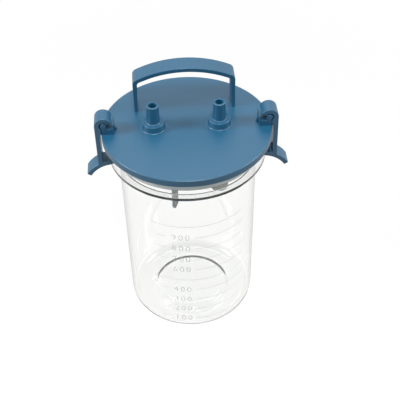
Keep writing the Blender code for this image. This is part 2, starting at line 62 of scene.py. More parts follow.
NECK_WALL = 0.0022
NECK_LENGTH = 0.0202
NECK_LEDGE = 0.0014
NECK_FILLET_R = 0.0003
THROAT_ROUND_R = 0.0030
RIM_ROUND_R = 0.0008
LEDGE_EDGE_R = 0.00015
SEAT_GAP = 0.0003

# Graduations on the jar's front: heights above the foot, and angles from the front towards +X
MARK_STEP = 100
MARK_COUNT = 10
LOWEST_MARK_Z = 0.0148
MARK_RISE = 0.01205
MARK_LINE = 0.00027
MARK_RELIEF = 0.00012
MARK_LEFT_DEG = -36.0
MARK_RIGHT_DEG = 49.0
TICK_LEFT_DEG = -31.0
TICK_RIGHT_DEG = -23.0
AFTER_NUMBER_DEG = 1.0
NUMBER_CENTRE_DEG = -10.6
NUMBER_SIZE = 0.0080
NUMBER_THINNING = -0.00006
NUMBER_SPACING = 1.35
MARK_STEP_DEG = 2.0

# Lid plate, rim wall and plug wall
LID_R = 0.0655
LID_PLATE = 0.0026
LID_RIM_HEIGHT = 0.00535
LID_RIM_WALL = 0.0026
LID_EDGE_R = 0.0011
PLUG_DEPTH = 0.0147
PLUG_WALL = 0.0018
PLUG_LIP = 0.0007
LID_HUB_R = 0.0450
SEAL_WALL = 0.0012
SEAL_HEIGHT = 0.0070
SEAL_BEAD_R = 0.0004
SEAL_BEAD_DEG = 60.0

# Tubing ports, and the drip tube's spigot and the valve seat below them
PORT_X = 0.0252
PORT_HEIGHT = 0.0204
PORT_BORE_R = 0.0031
PORT_TIP_R = 0.0050
PORT_WAIST_R = 0.0047
PORT_ROOT_R = 0.0052
PORT_LIP = 0.0012
PORT_EDGE_R = 0.0005
PORT_FILLET_R = 0.0009
FLANGE_R = 0.0087
FLANGE_FOOT_R = 0.0091
FLANGE_HEIGHT = 0.0054
SPIGOT_R = 0.0041
SPIGOT_LENGTH = 0.0098
SEAT_BOSS_R = 0.0059
SEAT_BOSS_LENGTH = 0.0094
SEAT_LIP_R = 0.0041
SEAT_LIP_HEIGHT = 0.0007

# Carrying handle
HANDLE_HEIGHT = 0.0380
HANDLE_HALF_WIDTH = 0.0395
HANDLE_FRONT_Y = 0.0203
HANDLE_DEPTH = 0.0155
HANDLE_STRAP = 0.0035
HANDLE_LEG_FOOT = 0.0026
HANDLE_ARCH_R = 0.0854
HANDLE_SHOULDER_R = 0.0050
HANDLE_ARMPIT_R = 0.0024
HANDLE_EDGE_R = 0.0005

# Latch hinges on the lid
PIVOT_X = 0.0632
PIVOT_HEIGHT = 0.0079
PIN_R = 0.00235
STEM_INNER = 0.0023
STEM_OUTER = 0.0015
STOP_REACH = 0.0080
STOP_HEIGHT = 0.0047
STOP_LIP = 0.0009
STOP_LIP_HEIGHT = 0.0088
GUSSET_REACH = 0.0023
GUSSET_HEIGHT = 0.0054
GUSSET_WALL = 0.0022
HINGE_EDGE_R = 0.00022

# Latches, measured outward and up from the pivot
LATCH_WIDTH = 0.0135
KNUCKLE_R = 0.0068
KNUCKLE_BORE_R = 0.0031
KNUCKLE_TIP_DEG = 158.0
KNUCKLE_TIP_BEVEL_DEG = 10.0
HEEL_OUT = 0.0019
HEEL_DROP = 0.0074
HEEL_BEVEL = 0.0012
ARM_WALL = 0.0035
TAB_ARC_IN = 0.0053
TAB_ARC_DROP = 0.0589
TAB_TOP_R = 0.0253
TAB_WALL = 0.0035
TAB_TIP_DEG = 31.5
HOOK_REACH = 0.0062
HOOK_NOSE = 0.0023
HOOK_NOSE_RAMP = 0.0011
LATCH_FILLET_R = 0.0012
LATCH_EDGE_R = 0.00045

# Smoothness of the new curves, and how far one shape of a moulding reaches into another
JAR_STEPS = 240
LID_STEPS = 192
PORT_STEPS = 72
CORNER_STEPS = 10
EDGE_SEGMENTS = 4
FILLET_STEPS = 6
ROUND_STEPS = 4
BORE_EDGE_STEPS = 3
SINK = 0.0006
WELD = 0.000001
SHARP_DEG = 46.0

# Places worked out from the sizes above
LID_UNDER_Z = JAR_HEIGHT + SEAT_GAP
LID_TOP_Z = LID_UNDER_Z + LID_PLATE
LEDGE_Z = JAR_HEIGHT - NECK_LENGTH
PIVOT_Z = LID_TOP_Z + PIVOT_HEIGHT
NECK_BORE_R = NECK_R - NECK_WALL
SEAL_R = NECK_BORE_R - SEAT_GAP
PLUG_R = SEAL_R - SEAL_WALL - SEAT_GAP
PLUG_BOTTOM_Z = LID_TOP_Z - PLUG_DEPTH

# Moulded surfaces: slow clouds of shade, and a fine orange peel in gloss and height
SHADE_DRIFT = 0.12
CLOUD_SCALE = 28.0
CLOUD_DETAIL = 3.0
PEEL_SCALE = 900.0
PEEL_DETAIL = 2.0
PEEL_GLOSS = 0.10
PEEL_STRENGTH = 0.35
COARSE_PEEL = 0.00006
MIDDLE_PEEL = 0.00005
SOFT_PEEL = 0.00004
FINE_PEEL = 0.00003

# Clear plastic: a slow wave in its surface, and what light from the lamps keeps on its way through
WAVE_SCALE = 45.0
WAVE_DETAIL = 1.0
WAVE_STRENGTH = 0.5
WAVE_HEIGHT = 0.00003
LAMP_LIGHT_KEPT = (0.93, 0.94, 0.94)

# Floor paper and the air round it: what is seen is white, and what lights the object is less
FLOOR_R = 2.5
FLOOR_STEPS = 64
FLOOR_DROP = 0.0002
PAPER_SEEN = 1.04
PAPER_GLOSS = 0.78
PAPER_SHADE = 0.85
PAPER_BOUNCE = 0.03
SHADOW_SHARE = 0.12
SHADOW_FADE_R = 0.35
SHADOW_END_R = 0.90
AIR_LIGHT = 0.02
AIR_GLOSS = 0.94
AIR_SEEN = 1.0

# Soft lamps: degrees round from the front towards +X, degrees up, metres off, width and height, watts
SOFTBOXES = {
    "front_softbox": (5.0, 62.0, 1.2, (0.32, 0.26), 6.2),
    "left_softbox": (-84.0, 33.0, 1.1, (0.36, 0.32), 6.8),
    "right_softbox": (90.0, 33.0, 1.1, (0.36, 0.32), 4.4),
    "rear_softbox": (180.0, 60.0, 1.3, (0.90, 0.36), 2.5),
}

# Camera: the photograph's view, aimed so that the lid's centre falls on its pixel
IMAGE_SIDE = 400
LID_CENTRE_PIXEL = (186.56, 125.1)
FOCAL_PIXELS = 853.63
CAMERA_AZIMUTH_DEG = -2.39
CAMERA_ELEVATION_DEG = 37.53
CAMERA_DISTANCE = 0.65687
CAMERA_ROLL_DEG = 1.88
SENSOR_MM = 36.0
CLIP_START = 0.01


# Shapes


def arc(centre, radius, start_deg, end_deg, steps=CORNER_STEPS):
    """Points along an arc in a plane, both ends included."""
    points = []
    for index in range(steps + 1):
        angle = math.radians(start_deg + (end_deg - start_deg) * index / steps)
        points.append((centre[0] + radius * math.cos(angle), centre[1] + radius * math.sin(angle)))
    return points


def ramp(start, end, steps=2 * CORNER_STEPS):
    """Points of a gentle S from one place to another in a plane, both ends included."""
    points = []
    for index in range(steps + 1):
        share = index / steps
        rise = (1.0 - math.cos(math.pi * share)) / 2
        points.append((start[0] + (end[0] - start[0]) * share, start[1] + (end[1] - start[1]) * rise))
    return points


def turned(outline, steps, x=0.0, ring=False):
    """A bmesh spun from an outline of radii and heights. A ring's outline closes on itself."""
    builder = bmesh.new()
    points = [builder.verts.new((radius, 0.0, height)) for radius, height in outline]
    pairs = list(zip(points, points[1:]))
    if ring:
        pairs.append((points[-1], points[0]))
    edges = [builder.edges.new(pair) for pair in pairs]
    bmesh.ops.spin(
        builder,
        geom=points + edges,
        axis=(0.0, 0.0, 1.0),
        cent=(0.0, 0.0, 0.0),
        steps=steps,
        angle=math.tau,
        use_merge=True,
    )
    bmesh.ops.remove_doubles(builder, verts=builder.verts, dist=WELD)
    bmesh.ops.translate(builder, verts=builder.verts, vec=(x, 0.0, 0.0))
    bmesh.ops.recalc_face_normals(builder, faces=builder.faces)
    return builder


def prism(outline, low_y, high_y, edge_r=0.0, place=(0.0, 0.0)):
    """A bmesh drawn along Y from an outline of x and z, with rounded rims on its two end faces."""
    builder = bmesh.new()
    face = builder.faces.new([builder.verts.new((x + place[0], low_y, z + place[1])) for x, z in outline])
    made = bmesh.ops.extrude_face_region(builder, geom=[face])
    moved = [item for item in made["geom"] if isinstance(item, bmesh.types.BMVert)]
    bmesh.ops.translate(builder, verts=moved, vec=(0.0, high_y - low_y, 0.0))
    if edge_r:
        rims = [edge for edge in builder.edges if edge.verts[0].co.y == edge.verts[1].co.y]
        bmesh.ops.bevel(
            builder,
            geom=rims,
            offset=edge_r,
            segments=EDGE_SEGMENTS,
            profile=0.5,
            affect="EDGES",
            material=-1,
        )
    bmesh.ops.recalc_face_normals(builder, faces=builder.faces)
    return builder


def piece(name, builders, finish, body, replaced=()):
    """One object made of all the builders' shapes, finished, and riding on its body."""
    whole = bmesh.new()
    for builder in builders:
        part_mesh = bpy.data.meshes.new(name)
        builder.to_mesh(part_mesh)
        builder.free()
        whole.from_mesh(part_mesh)
        bpy.data.meshes.remove(part_mesh)
    mesh = bpy.data.meshes.new(name)
    whole.to_mesh(mesh)
    whole.free()
    return dressed(name, mesh, finish, body, replaced)


def dressed(name, mesh, finish, body, replaced=()):
    """An object made of a mesh, with its finish and its body."""
    mesh.shade_smooth()
    mesh.set_sharp_from_angle(angle=math.radians(SHARP_DEG))
    mesh.materials.clear()
    mesh.materials.append(finish)
    obj = bpy.data.objects.new(name, mesh)
    bpy.context.scene.collection.objects.link(obj)
    flatten = obj.modifiers.new("even_normals", "WEIGHTED_NORMAL")
    flatten.keep_sharp = True
    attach(obj, body)
    if replaced:
        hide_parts(*replaced)
    return obj


def smoothed(node, name, finish, body):
    """A merged copy of a frame node, with smooth curves and crisp edges, in place of the node."""
    builder = bmesh.new()
    builder.from_mesh(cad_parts[node].data)
    bmesh.ops.remove_doubles(builder, verts=builder.verts, dist=WELD)
    mesh = bpy.data.meshes.new(name)
    builder.to_mesh(mesh)
    builder.free()
    return dressed(name, mesh, finish, body, (node,))


# Finishes


def node_of(tree, kind, **values):
    """A new node of one kind in a tree, with these settings."""
    made = tree.nodes.new(kind)
    for name, value in values.items():
        setattr(made, name, value)
    return made


def finish_of(name, colour, roughness, **sockets):
    """A material whose Principled shader takes these plain values."""
    made = bpy.data.materials.new(name)
    made.use_nodes = True
    shader = made.node_tree.nodes["Principled BSDF"]
    shader.inputs["Base Color"].default_value = (*colour, 1.0)
    shader.inputs["Roughness"].default_value = roughness
    for socket, value in sockets.items():
        shader.inputs[socket.replace("_", " ")].default_value = value
    return made, made.node_tree, shader


def noise_of(tree, place, scale, detail):
    """Noise over the object's own coordinates."""
    made = node_of(tree, "ShaderNodeTexNoise")
    made.inputs["Scale"].default_value = scale
    made.inputs["Detail"].default_value = detail
    tree.links.new(place.outputs["Object"], made.inputs["Vector"])
    return made.outputs["Fac"]


def bump(tree, height, strength, depth, shader):
    """Make a height tilt the shader's surface."""
    relief = node_of(tree, "ShaderNodeBump")
    relief.inputs["Strength"].default_value = strength
    relief.inputs["Distance"].default_value = depth
    tree.links.new(height, relief.inputs["Height"])
    tree.links.new(relief.outputs["Normal"], shader.inputs["Normal"])


def eased(tree, value, **limits):
    """A value mapped from one range to another with a soft start and end."""
    made = node_of(tree, "ShaderNodeMapRange", interpolation_type="SMOOTHSTEP")
    tree.links.new(value, made.inputs["Value"])
    for socket, limit in limits.items():
        made.inputs[socket.replace("_", " ")].default_value = limit
    return made.outputs["Result"]


def pick(tree, factor, plain, special):
    """The plain shader where the factor is 0, and the special one where it is 1."""
    choice = node_of(tree, "ShaderNodeMixShader")
    tree.links.new(factor, choice.inputs["Fac"])
    tree.links.new(plain, choice.inputs[1])
    tree.links.new(special, choice.inputs[2])
    return choice.outputs["Shader"]


def moulded_surface_group():
    """Shared look of moulded plastic: a slow drift of shade, fine gloss changes and a faint orange peel."""
    group = bpy.data.node_groups.new("moulded_surface", "ShaderNodeTree")
    sockets = [("Color", "NodeSocketColor", "INPUT"), ("Gloss", "NodeSocketFloat", "INPUT")]
    sockets += [("Color", "NodeSocketColor", "OUTPUT"), ("Roughness", "NodeSocketFloat", "OUTPUT")]
    sockets += [("Height", "NodeSocketFloat", "OUTPUT")]
    for name, kind, way in sockets:
        group.interface.new_socket(name=name, in_out=way, socket_type=kind)
    given = node_of(group, "NodeGroupInput")
    given_back = node_of(group, "NodeGroupOutput")
    place = node_of(group, "ShaderNodeTexCoord")
    clouds = noise_of(group, place, CLOUD_SCALE, CLOUD_DETAIL)
    peel = noise_of(group, place, PEEL_SCALE, PEEL_DETAIL)
    drift = node_of(group, "ShaderNodeMath", operation="MULTIPLY_ADD")
    group.links.new(clouds, drift.inputs[0])
    drift.inputs[1].default_value = SHADE_DRIFT
    drift.inputs[2].default_value = 1.0 - SHADE_DRIFT / 2
    shade = node_of(group, "ShaderNodeMix", data_type="RGBA", blend_type="MULTIPLY")
    shade.inputs["Factor"].default_value = 1.0
    group.links.new(given.outputs["Color"], shade.inputs["A"])
    group.links.new(drift.outputs["Value"], shade.inputs["B"])
    gloss = node_of(group, "ShaderNodeMath", operation="MULTIPLY_ADD")
    group.links.new(peel, gloss.inputs[0])
    gloss.inputs[1].default_value = PEEL_GLOSS
    group.links.new(given.outputs["Gloss"], gloss.inputs[2])
    group.links.new(shade.outputs["Result"], given_back.inputs["Color"])
    group.links.new(gloss.outputs["Value"], given_back.inputs["Roughness"])
    group.links.new(peel, given_back.inputs["Height"])
    return group


def moulded(name, colour, gloss, peel_depth, **sockets):
    """An opaque moulded plastic or rubber, on the shared surface group."""
    made, tree, shader = finish_of(name, colour, gloss, **sockets)
    surface = node_of(tree, "ShaderNodeGroup", node_tree=MOULDED_SURFACE)
    surface.inputs["Color"].default_value = (*colour, 1.0)
    surface.inputs["Gloss"].default_value = gloss
    tree.links.new(surface.outputs["Color"], shader.inputs["Base Color"])
    tree.links.new(surface.outputs["Roughness"], shader.inputs["Roughness"])
    bump(tree, surface.outputs["Height"], PEEL_STRENGTH, peel_depth, shader)
    return made


def clear(name, colour, foot_shade_colour, roughness, index):
    """A clear plastic with a faint wave, and painted shade that greys its foot. Light from the lamps passes
    through it.
    """
    made, tree, shader = finish_of(name, colour, roughness, Transmission_Weight=1.0, IOR=index)
    place = node_of(tree, "ShaderNodeTexCoord")
    axes = node_of(tree, "ShaderNodeSeparateXYZ")
    tree.links.new(place.outputs["Object"], axes.inputs["Vector"])
    # Painted shade: the base colour turns grey towards the foot, for the shade where the jar stands
    foot_shade_z = {"From_Min": FOOT_RECESS + FLOOR_WALL, "From_Max": FOOT_SHADE_TOP_Z}
    shade = node_of(tree, "ShaderNodeMix", data_type="RGBA")
    tree.links.new(eased(tree, axes.outputs["Z"], **foot_shade_z), shade.inputs["Factor"])
    shade.inputs["A"].default_value = (*foot_shade_colour, 1.0)
    shade.inputs["B"].default_value = (*colour, 1.0)
    tree.links.new(shade.outputs["Result"], shader.inputs["Base Color"])
    wave = noise_of(tree, place, WAVE_SCALE, WAVE_DETAIL)
    bump(tree, wave, WAVE_STRENGTH, WAVE_HEIGHT, shader)
    lets_through = node_of(tree, "ShaderNodeBsdfTransparent")
    lets_through.inputs["Color"].default_value = (*LAMP_LIGHT_KEPT, 1.0)
    path = node_of(tree, "ShaderNodeLightPath")
    surface = pick(tree, path.outputs["Is Shadow Ray"], shader.outputs["BSDF"], lets_through.outputs["BSDF"])
    tree.links.new(surface, tree.nodes["Material Output"].inputs["Surface"])
    return made


MOULDED_SURFACE = moulded_surface_group()
BLUE = moulded(
    "blue_polypropylene", (0.014, 0.134, 0.258), gloss=0.31, peel_depth=COARSE_PEEL, Specular_IOR_Level=0.85
)
# The foot's grey colour is painted shade at the jar's base, not a tint of the plastic
CLEAR = clear(
    "clear_polycarbonate", (0.988, 0.989, 0.983), foot_shade_colour=(0.86, 0.865, 0.85), roughness=0.02, index=1.55
)
SEAL = moulded(
    "milky_silicone", (0.52, 0.54, 0.53), gloss=0.42, peel_depth=SOFT_PEEL, Subsurface_Weight=0.25
)
VALVE = moulded("olive_grey_plastic", (0.17, 0.18, 0.14), gloss=0.36, peel_depth=MIDDLE_PEEL)
RUBBER = moulded("black_valve_rubber", (0.022, 0.022, 0.023), gloss=0.52, peel_depth=COARSE_PEEL)
TUBE = moulded(
    "smoke_grey_tube", (0.16, 0.20, 0.21), gloss=0.22, peel_depth=FINE_PEEL, Transmission_Weight=0.35
)
LINE_PRINT = moulded("pale_line_print", (0.80, 0.81, 0.81), gloss=0.50, peel_depth=FINE_PEEL, Alpha=0.70)
NUMBER_PRINT = moulded("faint_number_print", (0.80, 0.81, 0.81), gloss=0.50, peel_depth=FINE_PEEL, Alpha=0.32)


# Jar and its graduations


def jar_outline():
    """The jar's outside from the middle of its foot to the rim, and its inside back down."""
    floor_z = FOOT_RECESS + FLOOR_WALL
    shelf_z = LEDGE_Z + NECK_LEDGE
    foot_in_r = BODY_FOOT_R - BODY_WALL
    throat_r = BODY_TOP_R - BODY_WALL
    corner_in_r = FOOT_CORNER_R - BODY_WALL
    rim_z = JAR_HEIGHT - RIM_ROUND_R
    edge_z = LEDGE_Z + LEDGE_EDGE_R
    outline = [(0.0, FOOT_RECESS)]
    outline += ramp((STANDING_RING_IN_R - FOOT_RAMP, FOOT_RECESS), (STANDING_RING_IN_R, 0.0))
    outline += arc((BODY_FOOT_R - FOOT_CORNER_R, FOOT_CORNER_R), FOOT_CORNER_R, -90.0, 0.0)
    outline += [(BODY_TOP_R, LEDGE_Z)]
    outline += arc((NECK_R - LEDGE_EDGE_R, edge_z), LEDGE_EDGE_R, -90.0, 0.0, ROUND_STEPS)
    outline += arc((NECK_R - RIM_ROUND_R, rim_z), RIM_ROUND_R, 0.0, 90.0, ROUND_STEPS)
    outline += arc((NECK_BORE_R + RIM_ROUND_R, rim_z), RIM_ROUND_R, 90.0, 180.0, ROUND_STEPS)
    neck_foot = (NECK_BORE_R - NECK_FILLET_R, shelf_z + NECK_FILLET_R)
    outline += arc(neck_foot, NECK_FILLET_R, 0.0, -90.0, FILLET_STEPS)
    outline += arc((throat_r + THROAT_ROUND_R, shelf_z - THROAT_ROUND_R), THROAT_ROUND_R, 90.0, 180.0)
    outline += arc((foot_in_r - corner_in_r, FLOOR_WALL + corner_in_r), corner_in_r, 0.0, -90.0)
    outline += ramp((FLOOR_RAMP_START_R, FLOOR_WALL), (FLOOR_RAMP_START_R - FLOOR_RAMP, floor_z))
    return outline + [(0.0, floor_z)]


def body_radius(z):
    """The jar's outer radius at a height of its tapered wall."""
    share = (z - FOOT_CORNER_R) / (LEDGE_Z - FOOT_CORNER_R)
    return BODY_FOOT_R + (BODY_TOP_R - BODY_FOOT_R) * share


def mark_line(z, from_deg, to_deg):
    """A thin raised line round part of the jar's body."""
    inner = body_radius(z) - MARK_RELIEF
    outer = body_radius(z) + MARK_RELIEF
    low = z - MARK_LINE / 2
    high = z + MARK_LINE / 2
    start = Matrix.Rotation(math.radians(from_deg - 90.0), 3, "Z")
    builder = bmesh.new()
    corners = [(inner, 0.0, low), (outer, 0.0, low), (outer, 0.0, high), (inner, 0.0, high)]
    face = builder.faces.new([builder.verts.new(start @ Vector(corner)) for corner in corners])
    steps = max(2, round((to_deg - from_deg) / MARK_STEP_DEG))
    bmesh.ops.spin(
        builder,
        geom=[face],
        axis=(0.0, 0.0, 1.0),
        cent=(0.0, 0.0, 0.0),
        steps=steps,
        angle=math.radians(to_deg - from_deg),
    )
    bmesh.ops.remove_doubles(builder, verts=builder.verts, dist=WELD)
    bmesh.ops.recalc_face_normals(builder, faces=builder.faces)
    return builder


def mark_number(value, z):
    """The number beside a line, bent round the jar's body."""
    text = bpy.data.curves.new("number", "FONT")
    text.body = str(value)
    text.size = NUMBER_SIZE
    text.space_character = NUMBER_SPACING
    text.align_x = "CENTER"
    text.align_y = "CENTER"
    text.extrude = MARK_RELIEF
    text.offset = NUMBER_THINNING
    holder = bpy.data.objects.new("number", text)
    bpy.context.scene.collection.objects.link(holder)
    bpy.context.view_layer.update()
    flat = bpy.data.meshes.new_from_object(holder.evaluated_get(bpy.context.evaluated_depsgraph_get()))
    bpy.data.objects.remove(holder)
    builder = bmesh.new()
    builder.from_mesh(flat)
    bpy.data.meshes.remove(flat)
    bmesh.ops.remove_doubles(builder, verts=builder.verts, dist=WELD)
    for vert in builder.verts:
        radius = body_radius(z + vert.co.y) + vert.co.z
        angle = math.radians(NUMBER_CENTRE_DEG - 90.0) + vert.co.x / body_radius(z)
        vert.co = Vector((radius * math.cos(angle), radius * math.sin(angle), z + vert.co.y))
    return builder


def make_jar():
    piece("jar_shell", [turned(jar_outline(), JAR_STEPS)], CLEAR, "canister", ("jar",))
    lines = []
    numbers = []
    for index in range(MARK_COUNT):
        value = MARK_STEP * (index + 1)
        z = LOWEST_MARK_Z + MARK_RISE * index
        if value % (MARK_STEP * MARK_COUNT // 2) == 0:
            lines.append(mark_line(z, MARK_LEFT_DEG, MARK_RIGHT_DEG))
        else:
            lines.append(mark_line(z, TICK_LEFT_DEG, TICK_RIGHT_DEG))
            lines.append(mark_line(z, AFTER_NUMBER_DEG, MARK_RIGHT_DEG))
            numbers.append(mark_number(value, z))
    piece("graduation_lines", lines, LINE_PRINT, "canister")
    piece("graduation_numbers", numbers, NUMBER_PRINT, "canister")


# Lid moulding


def lid_outline():
    """The plate's rim, the channel over the jar's neck, and the plug wall with its lip."""
    rim_z = LID_TOP_Z - LID_RIM_HEIGHT
    channel_r = LID_R - LID_RIM_WALL
    plug_in_r = PLUG_R - PLUG_WALL
    lip_r = PLUG_R + SEAL_WALL / 2
    lip_z = PLUG_BOTTOM_Z + PLUG_LIP
    outline = [(LID_HUB_R, LID_TOP_Z)]
    outline += arc((LID_R - LID_EDGE_R, LID_TOP_Z - LID_EDGE_R), LID_EDGE_R, 90.0, 0.0, FILLET_STEPS)
    outline += [(LID_R, rim_z), (channel_r, rim_z), (channel_r, LID_UNDER_Z), (PLUG_R, LID_UNDER_Z)]
    outline += [(PLUG_R, lip_z), (lip_r, lip_z), (lip_r, PLUG_BOTTOM_Z), (plug_in_r, PLUG_BOTTOM_Z)]
    outline += [(plug_in_r, LID_UNDER_Z), (LID_HUB_R, LID_UNDER_Z)]
    return outline


def half_middle(builder, z, side, hole_r):
    """Corners of the front or back half of the plate's flat middle: along the hub, back past both bores."""
    corners = []
    level = [vert for vert in builder.verts if abs(vert.co.z - z) < WELD and side * vert.co.y > -WELD]
    for x, radius, turn in ((0.0, LID_HUB_R, 1.0), (PORT_X, hole_r, -1.0), (-PORT_X, hole_r, -1.0)):
        ring = [vert for vert in level if abs(math.hypot(vert.co.x - x, vert.co.y) - radius) < WELD]
        corners += sorted(ring, key=lambda vert: turn * vert.co.x)
    return corners


def lid_plate():
    """The turned plate, rim and plug wall, with the middle filled in round both bores."""
    builder = turned(lid_outline(), LID_STEPS)
    hole_r = (PORT_BORE_R + SPIGOT_R) / 2
    hole = arc((0.0, 0.0), hole_r, 0.0, 360.0, PORT_STEPS)[:-1]
    for shift in (-PORT_X, PORT_X):
        top = [builder.verts.new((x + shift, y, LID_TOP_Z)) for x, y in hole]
        low = [builder.verts.new((x + shift, y, LID_UNDER_Z)) for x, y in hole]
        for index in range(PORT_STEPS):
            builder.faces.new((top[index - 1], top[index], low[index], low[index - 1]))
    for z in (LID_TOP_Z, LID_UNDER_Z):
        for side in (-1.0, 1.0):
            builder.faces.new(half_middle(builder, z, side, hole_r))
    bmesh.ops.recalc_face_normals(builder, faces=builder.faces)
    return builder


def port_outline(below):
    """Spigot and flange round the bore, and the points of what hangs below the plate."""
    tip_z = LID_TOP_Z + PORT_HEIGHT
    flange_z = LID_TOP_Z + FLANGE_HEIGHT
    foot_r = FLANGE_FOOT_R + PORT_FILLET_R
    bore_edge_r = PORT_EDGE_R / 2
    root = (PORT_ROOT_R + PORT_FILLET_R, flange_z + PORT_FILLET_R)
    outline = arc((PORT_BORE_R + bore_edge_r, tip_z - bore_edge_r), bore_edge_r, 180.0, 90.0, BORE_EDGE_STEPS)
    outline += arc((PORT_TIP_R - PORT_EDGE_R, tip_z - PORT_EDGE_R), PORT_EDGE_R, 90.0, 0.0, ROUND_STEPS)
    outline += [(PORT_WAIST_R, tip_z - PORT_LIP)]
    outline += arc(root, PORT_FILLET_R, 180.0, 270.0, FILLET_STEPS)
    outline += arc((FLANGE_R - PORT_EDGE_R, flange_z - PORT_EDGE_R), PORT_EDGE_R, 90.0, 0.0, ROUND_STEPS)
    outline += arc((foot_r, LID_TOP_Z + PORT_FILLET_R), PORT_FILLET_R, 180.0, 270.0, FILLET_STEPS)
    return outline + [(foot_r, LID_TOP_Z - SINK), (below[0][0], LID_TOP_Z - SINK)] + below


def port_shapes():
    """The patient port, with the drip tube's spigot below it, and the vacuum port, with the valve seat."""
    spigot_z = LID_UNDER_Z - SPIGOT_LENGTH
    spigot = [(SPIGOT_R, spigot_z + PORT_EDGE_R), (SPIGOT_R - PORT_EDGE_R, spigot_z)]
    spigot += [(PORT_BORE_R, spigot_z)]
    boss_z = LID_UNDER_Z - SEAT_BOSS_LENGTH
    seat_z = boss_z - SEAT_LIP_HEIGHT
    seat = [(SEAT_BOSS_R, boss_z), (SEAT_LIP_R + SEAT_LIP_HEIGHT, boss_z)]
    seat += [(SEAT_LIP_R, seat_z), (PORT_BORE_R, seat_z)]
    patient = turned(port_outline(spigot), PORT_STEPS, -PORT_X, ring=True)
    vacuum = turned(port_outline(seat), PORT_STEPS, PORT_X, ring=True)
    return [patient, vacuum]


def arch(half_width, radius, corner_r):
    """An arched top, from +x to -x: a corner, the arch about the common centre, and the other corner."""
    centre_z = LID_TOP_Z + HANDLE_HEIGHT - HANDLE_ARCH_R
    corner_x = half_width - corner_r
    corner_z = centre_z + math.sqrt((radius - corner_r) ** 2 - corner_x ** 2)
    turn = math.degrees(math.atan2(corner_z - centre_z, corner_x))
    points = arc((corner_x, corner_z), corner_r, 0.0, turn)
    points += arc((0.0, centre_z), radius, turn, 180.0 - turn, 4 * CORNER_STEPS)[1:-1]
    points += arc((-corner_x, corner_z), corner_r, 180.0 - turn, 180.0)
    return points


def handle_outline():
    foot_z = LID_TOP_Z - SINK
    leg_in_x = HANDLE_HALF_WIDTH - HANDLE_LEG_FOOT
    outline = [(HANDLE_HALF_WIDTH, foot_z)]
    outline += arch(HANDLE_HALF_WIDTH, HANDLE_ARCH_R, HANDLE_SHOULDER_R)
    outline += [(-HANDLE_HALF_WIDTH, foot_z), (-leg_in_x, foot_z)]
    outline += arch(HANDLE_HALF_WIDTH - HANDLE_STRAP, HANDLE_ARCH_R - HANDLE_STRAP, HANDLE_ARMPIT_R)[::-1]
    outline += [(leg_in_x, foot_z)]
    return outline


def hinge_shapes(side):
    """The stem with its stepped stop, the pin and the small rib of one latch hinge."""
    place = (side * PIVOT_X, PIVOT_Z)
    half = LATCH_WIDTH / 2
    foot = -PIVOT_HEIGHT - SINK
    step = STOP_HEIGHT - PIVOT_HEIGHT
    lip_top = STOP_LIP_HEIGHT - PIVOT_HEIGHT
    lip_in = STOP_LIP - STOP_REACH
    base = [(-STOP_REACH, foot), (STEM_OUTER, foot), (STEM_OUTER, 0.0), (-STEM_INNER, 0.0)]
    base += [(-STEM_INNER, step), (lip_in, step), (lip_in, lip_top), (-STOP_REACH, lip_top)]
    base = [(side * x, z) for x, z in base]
    pin = arc((0.0, 0.0), PIN_R, 0.0, 360.0, 4 * CORNER_STEPS)[:-1]
    shapes = [prism(base, LATCH_EDGE_R - half, half - LATCH_EDGE_R, HINGE_EDGE_R, place)]
    shapes.append(prism(pin, -half, half, LATCH_EDGE_R, place))
    prop = STOP_LIP / 2 - STOP_REACH
    gusset = [(-(STOP_REACH + GUSSET_REACH), foot), (prop, foot), (prop, GUSSET_HEIGHT - PIVOT_HEIGHT)]
    gusset = [(side * x, z) for x, z in gusset]
    shapes.append(prism(gusset, -GUSSET_WALL / 2, GUSSET_WALL / 2, HINGE_EDGE_R, place))
    return shapes


def make_lid():
    shapes = [lid_plate()] + port_shapes()
    back_y = HANDLE_FRONT_Y + HANDLE_DEPTH
    shapes.append(prism(handle_outline(), HANDLE_FRONT_Y, back_y, HANDLE_EDGE_R))
    for side in (-1.0, 1.0):
        shapes += hinge_shapes(side)
    piece("lid_moulding", shapes, BLUE, "canister", ("lid",))


def make_seal():
    low_z = PLUG_BOTTOM_Z + PLUG_LIP + SEAT_GAP
    high_z = low_z + SEAL_HEIGHT
    inner_r = SEAL_R - SEAL_WALL
    waist_r = SEAL_R - SEAL_BEAD_R
    outline = [(inner_r, low_z)]
    outline += arc((waist_r, low_z + SEAL_BEAD_R), SEAL_BEAD_R, -90.0, SEAL_BEAD_DEG, FILLET_STEPS)
    outline += arc((waist_r, high_z - SEAL_BEAD_R), SEAL_BEAD_R, -SEAL_BEAD_DEG, 90.0, FILLET_STEPS)
    outline += [(inner_r, high_z)]
    ring = turned(outline, LID_STEPS, ring=True)
    piece("seal_ring", [ring], SEAL, "canister", ("lid_seal",))


# Latches


